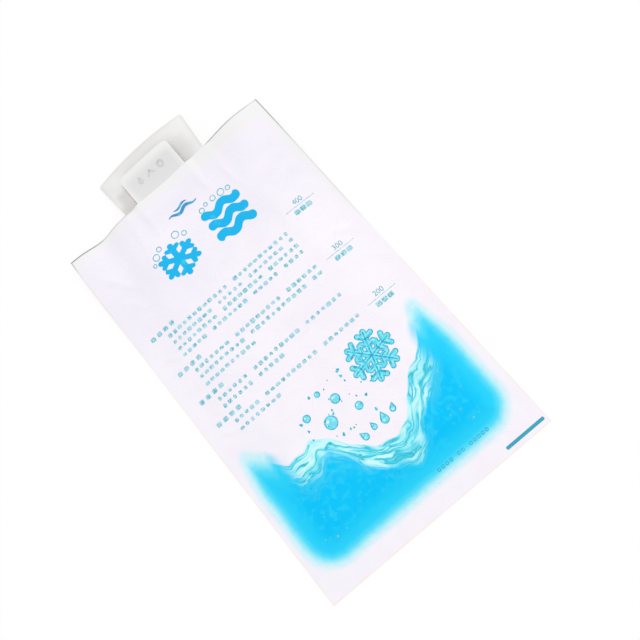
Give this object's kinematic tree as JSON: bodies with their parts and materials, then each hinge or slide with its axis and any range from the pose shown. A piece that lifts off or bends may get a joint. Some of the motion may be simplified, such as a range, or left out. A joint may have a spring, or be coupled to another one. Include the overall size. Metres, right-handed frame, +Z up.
{
  "type": "reusable ice pack",
  "caption": "Flat film pouch ice pack, filled with water through a film valve in its top seal; lies dry on its back with a curled, wavy top edge.",
  "frame": {"origin": "on the surface that the pack lies on, below the middle of its overall length and width", "axes": "+Z up off the surface, +Y along the pouch from its bottom seal to the valve, +X to the right seen from above with the valve away from the viewer"},
  "size_m": [0.14, 0.2568, 0.0086],
  "materials": {
    "printed_film": "white printed pouch film, semi gloss",
    "valve_film": "milky translucent valve film, satin"
  },
  "bodies": {
    "root": {"pouch": "printed_film", "valve_flap": "valve_film", "valve_tab": "valve_film"}
  },
  "joints": []
}
